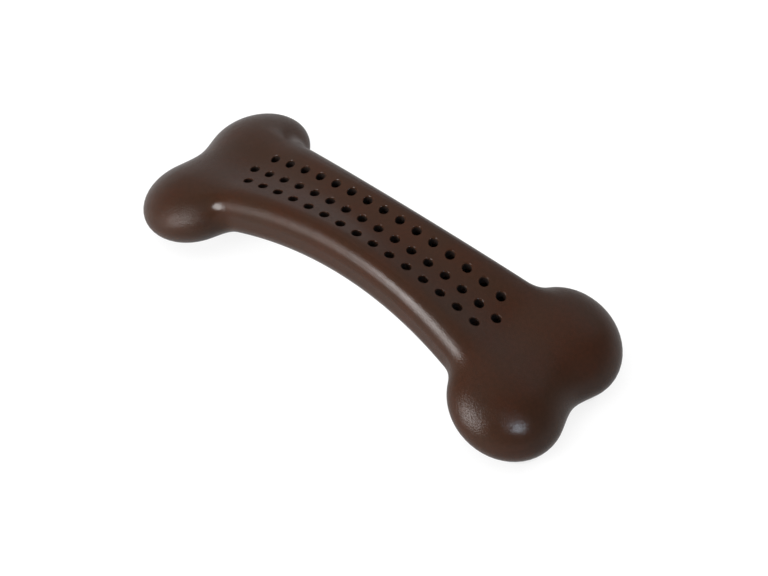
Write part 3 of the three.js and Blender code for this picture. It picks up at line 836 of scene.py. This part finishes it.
class BONE_OT_panel(BonePiece, bpy.types.Operator):
    """Underside panel with the fill opening, hinge lugs, keeper loop and foot sockets"""

    bl_idname = "bone.panel"
    bl_label = "Panel"

    SOCKET_TOP = 20 * MM
    SOCKET_SIDES = 64

    def lug(self, form, side):
        """Hinge lug: a capsule outline, upright round the axis and up into the panel, made thick across."""
        s = form.s
        radius = s.barrel_radius
        half = s.lug_width / 2
        reach = form.underside(form.hinge_x) + s.bite - form.hinge_z
        outline = RoundedBox(radius, radius + reach / 2, radius - HAIR, middle=(0, -reach / 2))
        lug = slab("lug", outline, rounded_edge(0, -half, half, SMALL_ROUND, steps=3), flat, fill=3)
        return place(lug, hinge_place(form, side * (s.barrel_width / 2 + s.gap + half)))

    def keeper(self, form):
        """Keeper loop: two legs and a bar."""
        s = form.s
        m = catch_marks(s)
        end = m.keeper + s.keeper_length
        return catch_blocks(form, "keeper", (
            ((m.keeper, m.inner, m.bar_low), (end, m.outer, s.bite)),
            ((m.keeper, -m.outer, m.bar_low), (end, -m.inner, s.bite)),
            ((m.keeper, -m.outer, m.bar_low), (end, m.outer, m.bar_low + s.rail_lip))))

    def execute(self, context):
        s, finishes, form = self.settings(context)
        edge = rounded_edge(s.panel_inset + s.gap, s.panel_recess, form.panel_top, s.edge_round)
        panel = slab("underside_panel", form, edge, form.bottom, fill=16)
        seat = form.hatch_high + s.seal_thickness + 2 * s.gap

        def face(plan):
            """Height of the panel's outer face."""
            return form.bottom(plan) + s.panel_recess

        rim = flared_edge(0, seat - s.panel_recess, s.edge_round)
        throat = rounded_edge(s.hatch_seat, seat - SPARE, form.panel_top + SPARE, SMALL_ROUND)
        combine(
            panel, "DIFFERENCE", slab("hatch_seat", form.hatch_outline, rim, face),
            slab("fill_opening", form.hatch_outline, throat, form.bottom))
        combine(panel, "UNION", self.lug(form, -1), self.lug(form, 1), *self.keeper(form))
        combine(panel, "DIFFERENCE", pin_drill(form))
        wide = s.foot_radius + s.gap
        thin = s.screw_radius + s.gap
        profile = [
            (0, -OVERSHOOT), (wide, -OVERSHOOT), (wide, form.foot_floor), (thin, form.foot_floor),
            (thin, self.SOCKET_TOP), (0, self.SOCKET_TOP)]
        for x, y in form.corners():
            socket = lathe("socket", profile, self.SOCKET_SIDES)
            combine(panel, "DIFFERENCE", place(socket, Matrix.Translation((x, y, 0))))
        finish = plastic_finish("grained_brown_plastic", finishes.panel_colour, roughness=0.52)
        finish_piece(panel, "base_panel", "bone", finish)
        return {"FINISHED"}


class BONE_OT_seals(BonePiece, bpy.types.Operator):
    """Sealing rings of the panel and of the hatch"""

    bl_idname = "bone.seals"
    bl_label = "Seals"

    def execute(self, context):
        s, finishes, form = self.settings(context)
        finish = rubber_finish(finishes.rubber_colour)
        inset = s.panel_inset + (s.ledge_width - s.gasket_width) / 2
        section = ring_section(inset, s.gasket_width, form.gasket_low, s.gasket_thickness, SMALL_ROUND)
        panel_seal = ring("panel_seal", form, section, form.bottom)
        finish_piece(panel_seal, "panel_gasket", "bone", finish)
        inset = (s.hatch_seat - s.seal_width) / 2
        section = ring_section(inset, s.seal_width, form.hatch_high + s.gap, s.seal_thickness, SMALL_ROUND)
        hatch_seal = ring("hatch_seal", form.hatch_outline, section, form.bottom)
        finish_piece(hatch_seal, "hatch_gasket", "hatch", finish)
        return {"FINISHED"}


class BONE_OT_hatch(BonePiece, bpy.types.Operator):
    """Lid of the fill opening with its hinge strap and barrel and the rails of the catch"""

    bl_idname = "bone.hatch"
    bl_label = "Fill hatch"

    STRAP_ROUND = 0.4 * MM
    BARREL_SIDES = 64

    def strap(self, form):
        """Hinge strap: a rounded block from the barrel onto the lid, sheared to the slope between them."""
        s = form.s
        end = form.hinge_x + s.strap_length
        root = form.hinge_z + s.barrel_radius - s.bite
        tip = form.underside(end) + s.bite
        half = s.barrel_width / 2
        block = rounded_block(
            "strap", (0, -half, -s.strap_thickness), (s.strap_length, half, 0), self.STRAP_ROUND)
        shear = Matrix.Identity(4)
        shear[2][0] = (tip - root) / s.strap_length
        return place(block, Matrix.Translation((form.hinge_x, 0, root)) @ shear)

    def rails(self, form):
        """Rails with lips over the bolt, and the stop behind it."""
        s = form.s
        m = catch_marks(s)
        lip_low = m.lip_high - s.rail_lip
        blocks = []
        for side in (-1, 1):
            wall = sorted((side * m.inner, side * m.outer))
            lip = sorted((side * (m.inner - s.rail_lip), side * m.outer))
            blocks += [
                ((m.rail_tail, wall[0], lip_low), (m.rail_tip, wall[1], s.bite)),
                ((m.rail_tail, lip[0], lip_low), (m.rail_tip, lip[1], m.lip_high))]
        back = m.tail - s.gap
        blocks.append(((back - s.rail_wall, -m.outer, m.low), (back, m.outer, s.bite)))
        return catch_blocks(form, "rail", blocks)

    def execute(self, context):
        s, finishes, form = self.settings(context)
        edge = rounded_edge(s.gap, s.panel_recess, form.hatch_high, s.edge_round)
        hatch = slab("hatch_lid", form.hatch_outline, edge, form.bottom)
        half = s.barrel_width / 2
        barrel = rod("barrel", s.barrel_radius, -half, half, self.BARREL_SIDES, SMALL_ROUND)
        combine(hatch, "UNION", self.strap(form), place(barrel, hinge_place(form, 0)), *self.rails(form))
        combine(hatch, "DIFFERENCE", pin_drill(form))
        finish = plastic_finish("grained_tan_plastic", finishes.hatch_colour, roughness=0.48)
        finish_piece(hatch, "fill_hatch", "hatch", finish)
        return {"FINISHED"}


class BONE_OT_catch(BonePiece, bpy.types.Operator):
    """Slide bolt with its wide end and thumb ribs"""

    bl_idname = "bone.catch"
    bl_label = "Slide bolt"

    RIBS = 3
    RIB_START = 1 * MM
    RIB_PITCH = 2 * MM
    RIB_WIDTH = 1 * MM

    def execute(self, context):
        s, finishes, form = self.settings(context)
        m = catch_marks(s)
        half = s.bolt_width / 2
        rib_half = half - s.rail_lip - s.gap
        blocks = [
            ("slide_bolt", (m.tail, -half, m.low), (m.tip, half, m.top)),
            ("bolt_head", (m.tail, -m.outer, m.low), (m.tail + s.bolt_head, m.outer, m.top))]
        for i in range(self.RIBS):
            x = m.tail + self.RIB_START + i * self.RIB_PITCH
            high = (x + self.RIB_WIDTH, rib_half, m.low + s.bite)
            blocks.append(("rib", (x, -rib_half, m.low - s.rib_height), high))
        bolt, *added = [rounded_block(*block, SMALL_ROUND) for block in blocks]
        combine(bolt, "UNION", *added)
        place(bolt, catch_place(form))
        finish = plastic_finish("grained_grey_plastic", finishes.catch_colour, roughness=0.45)
        finish_piece(bolt, "hatch_catch", "catch", finish)
        return {"FINISHED"}


class BONE_OT_feet(BonePiece, bpy.types.Operator):
    """Soft foot plugs over the screw heads"""

    bl_idname = "bone.feet"
    bl_label = "Feet"

    EDGE_ROUND = 0.6 * MM
    EDGE_STEPS = 6
    SIDES = 72

    def execute(self, context):
        s, finishes, form = self.settings(context)
        finish = rubber_finish(finishes.rubber_colour)
        soft = self.EDGE_ROUND
        sine, cosine = quarter(soft, self.EDGE_STEPS)
        edge = np.stack([s.foot_radius - soft + sine, soft - cosine], -1)
        pocket = s.screw_head_radius + s.gap
        profile = [
            (0, 0), *edge, (s.foot_radius, s.foot_thickness), (pocket, s.foot_thickness),
            (pocket, s.foot_skin), (0, s.foot_skin)]
        for name, (x, y) in zip(FEET, form.corners()):
            plug = place(lathe(f"{name}_plug", profile, self.SIDES), Matrix.Translation((x, y, 0)))
            finish_piece(plug, name, "bone", finish)
        return {"FINISHED"}


class BONE_OT_steel(BonePiece, bpy.types.Operator):
    """Hinge pin with chamfered ends, and the finish of the screws"""

    bl_idname = "bone.steel"
    bl_label = "Pin and screws"

    PIN_CHAMFER = 0.25 * MM
    PIN_SIDES = 48

    def execute(self, context):
        s, finishes, form = self.settings(context)
        finish = steel_finish(finishes.steel_colour)
        half = s.barrel_width / 2 + s.lug_width + s.gap
        pin = rod("turned_pin", s.pin_radius, -half, half, self.PIN_SIDES, self.PIN_CHAMFER)
        finish_piece(place(pin, hinge_place(form, 0)), "hinge_pin", "bone", finish)
        for name in SCREWS:
            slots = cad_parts[name].data.materials
            slots.clear()
            slots.append(finish)
        return {"FINISHED"}


# Stage

def towards(azimuth, elevation):
    """Unit vector to a direction in degrees: azimuth from -Y towards +X, elevation from the floor."""
    a, e = math.radians(azimuth), math.radians(elevation)
    return Vector((math.sin(a) * math.cos(e), -math.cos(a) * math.cos(e), math.sin(e)))


class BONE_OT_stage(BonePiece, bpy.types.Operator):
    """White floor, soft studio lights and the camera"""

    bl_idname = "bone.stage"
    bl_label = "Stage"

    WHITE = (1, 1, 1)
    FLOOR_HALF = 3.0
    # Reach of a shadow, level of the floor in and out of it, and shares of open sky where it starts and ends
    TOUCH_SHADOW = (3.5 * MM, 0.5, 1.0, 0.3, 0.95)
    WIDE_SHADOW = (16 * MM, 0.86, 0.92, 0.4, 0.9)
    SHADOW_SAMPLES = 16
    MIRRORED_LEVEL = 0.40
    SEEN_GREY = 0.15
    PLAIN_GREY = 0.8
    PLAIN_GLOW = 0.25
    # Height of the view, from level to straight up, and the brightness of the room there
    ROOM = ((0.0, 0.42), (0.1, 0.36), (0.3, 0.20), (0.6, 0.14), (1.0, 0.12))
    # Name, azimuth and elevation in degrees, distance and size in metres, watts, tint and use of each lamp
    LAMPS = (
        ("window", -12, 25, 0.8, (0.36, 0.46), 6.1, WHITE, "gloss"),
        ("sill", -21.5, 6, 0.8, (0.2, 0.2), 0.56, WHITE, "gloss"),
        ("cool", 78, 33, 1.2, (0.32, 0.075), 3.4, (0.72, 0.86, 1.0), "gloss"),
        ("wall", -152, 52, 2.0, (4.4, 2.6), 9.0, (0.96, 0.98, 1.0), "gloss"),
        ("panel", -136, 22, 2.0, (1.1, 0.65), 1.0, (0.94, 0.97, 1.0), "gloss"),
        ("front", -20, 20, 1.1, (0.4, 0.4), 11.2, WHITE, "shading"),
        ("back", 165, 30, 1.2, (0.6, 0.6), 5.5, WHITE, "shading"),
        ("top", -10, 66, 1.6, (1.2, 1.2), 16.3, WHITE, "shading"),
    )
    TARGET = Vector((0, 0, 0.02))
    CAMERA_PLACE = (0.2496, -0.28897, 0.44296)
    CAMERA_AZIMUTH = 40.26
    CAMERA_ELEVATION = 48.95
    LENS = 74.39
    SENSOR = 36.0
    CLIP_START = 0.01

    def shadow(self, n, reach, dark, light, start, end):
        """Level of the floor by how much open sky lies within a reach."""
        sky = n.add("AmbientOcclusion", {"Distance": reach}, samples=self.SHADOW_SAMPLES).outputs["AO"]
        return n.spread(sky, dark, light, start, end)

    def glowing(self, n, grey, strength):
        """Plain grey surface with a white glow of its own."""
        return n.out("AddShader", {
            0: n.out("BsdfDiffuse", {"Color": opaque(self.WHITE, grey)}),
            1: n.out("Emission", {"Color": opaque(self.WHITE), "Strength": strength})})

    def floor(self):
        """White floor. To the camera and in reflections it is nearly all its own white, dimmed by shadows
        and, in reflections, by the mirrored level. To other rays it is a plain pale surface that glows a
        little, so the underside is lit. From below it is clear."""
        corners = np.array([(-1, -1, 0), (1, -1, 0), (1, 1, 0), (-1, 1, 0)])
        obj = mesh_object("floor", corners * self.FLOOR_HALF, [(0, 1, 2, 3)])
        material = bpy.data.materials.new("white_floor")
        n = Nodes(material)
        n.tree.nodes.remove(n.tree.nodes["Principled BSDF"])
        path = n.add("LightPath").outputs
        seen = n.reckon("MAXIMUM", path["Is Camera Ray"], path["Is Glossy Ray"])
        seen = n.reckon("MAXIMUM", seen, path["Is Transmission Ray"])
        shadows = n.reckon("MULTIPLY", self.shadow(n, *self.TOUCH_SHADOW), self.shadow(n, *self.WIDE_SHADOW))
        mirrored = n.spread(path["Is Glossy Ray"], 1.0, self.MIRRORED_LEVEL, start=0, end=1)
        shown = self.glowing(n, self.SEEN_GREY, n.reckon("MULTIPLY", shadows, mirrored))
        plain = self.glowing(n, self.PLAIN_GREY, self.PLAIN_GLOW)
        above = n.out("MixShader", {0: seen, 1: plain, 2: shown})
        back = n.add("NewGeometry").outputs["Backfacing"]
        n.surface(n.out("MixShader", {0: back, 1: above, 2: n.out("BsdfTransparent")}))
        obj.data.materials.append(material)

    def surroundings(self):
        """White to the camera; to the object, pale walls that fade to a darker ceiling."""
        world = bpy.data.worlds.new("studio")
        bpy.context.scene.world = world
        n = Nodes(world)
        split = n.add("SeparateXYZ", {0: n.add("TexCoord").outputs["Generated"]})
        ramp = n.add("ValToRGB", {"Fac": split.outputs["Z"]})
        stops = ramp.color_ramp.elements
        stops.remove(stops[1])
        for i, (at, level) in enumerate(self.ROOM):
            stop = stops.new(at) if i else stops[0]
            stop.position = at
            stop.color = opaque(self.WHITE, level)
        room = n.tree.nodes["Background"]
        n.put(room.inputs["Color"], ramp.outputs["Color"])
        white = n.out("Background", {"Color": opaque(self.WHITE)})
        seen = n.add("LightPath").outputs["Is Camera Ray"]
        n.surface(n.out("MixShader", {0: seen, 1: room.outputs[0], 2: white}))

    def lamp(self, name, azimuth, elevation, distance, size, power, tint, use):
        """Soft light aimed at the bone from a direction, for the gloss only or for the plain shading only."""
        light = bpy.data.lights.new(name, "AREA")
        light.shape = "ELLIPSE"
        light.size, light.size_y = size
        light.energy = power
        light.color = tint
        obj = add_object(name, light)
        back = towards(azimuth, elevation)
        turn = back.to_track_quat("Z", "Y").to_matrix().to_4x4()
        obj.matrix_world = Matrix.Translation(self.TARGET + back * distance) @ turn
        obj.visible_diffuse = use == "shading"
        obj.visible_glossy = use == "gloss"

    def camera(self):
        """Camera at the photograph's angle: its axes from azimuth and elevation, without roll."""
        a = math.radians(self.CAMERA_AZIMUTH)
        back = towards(self.CAMERA_AZIMUTH, self.CAMERA_ELEVATION)
        right = Vector((math.cos(a), math.sin(a), 0))
        data = bpy.data.cameras.new("camera")
        data.lens = self.LENS
        data.sensor_width = self.SENSOR
        data.sensor_fit = "HORIZONTAL"
        data.clip_start = self.CLIP_START
        obj = add_object("camera", data)
        turn = Matrix((right, back.cross(right), back)).transposed().to_4x4()
        obj.matrix_world = Matrix.Translation(self.CAMERA_PLACE) @ turn
        bpy.context.scene.camera = obj

    def execute(self, context):
        context.scene.view_settings.view_transform = "Standard"
        self.floor()
        self.surroundings()
        for lamp in self.LAMPS:
            self.lamp(*lamp)
        self.camera()
        return {"FINISHED"}


# Add-on

PIECES = (
    BONE_OT_shell, BONE_OT_panel, BONE_OT_seals, BONE_OT_hatch, BONE_OT_catch, BONE_OT_feet, BONE_OT_steel,
    BONE_OT_stage,
)


class BONE_PT_build(bpy.types.Panel):
    """Sidebar panel that lists the bone's pieces"""

    bl_label = "Fillable bone"
    bl_idname = "BONE_PT_build"
    bl_space_type = "VIEW_3D"
    bl_region_type = "UI"
    bl_category = "Bone"

    def draw(self, context):
        for piece in PIECES:
            self.layout.operator(piece.bl_idname)


CLASSES = (BoneSizes, BoneFinishes, *PIECES, BONE_PT_build)


def register():
    """Adds the classes and the scene's settings."""
    for cls in CLASSES:
        bpy.utils.register_class(cls)
    bpy.types.Scene.bone_sizes = PointerProperty(type=BoneSizes)
    bpy.types.Scene.bone_finishes = PointerProperty(type=BoneFinishes)


def unregister():
    """Takes them away again."""
    del bpy.types.Scene.bone_finishes
    del bpy.types.Scene.bone_sizes
    for cls in reversed(CLASSES):
        bpy.utils.unregister_class(cls)


def main():
    """Builds every piece and the stage."""
    register()
    bpy.ops.bone.shell()
    bpy.ops.bone.panel()
    bpy.ops.bone.seals()
    bpy.ops.bone.hatch()
    bpy.ops.bone.catch()
    bpy.ops.bone.feet()
    bpy.ops.bone.steel()
    bpy.ops.bone.stage()


if __name__ == "__main__":
    main()
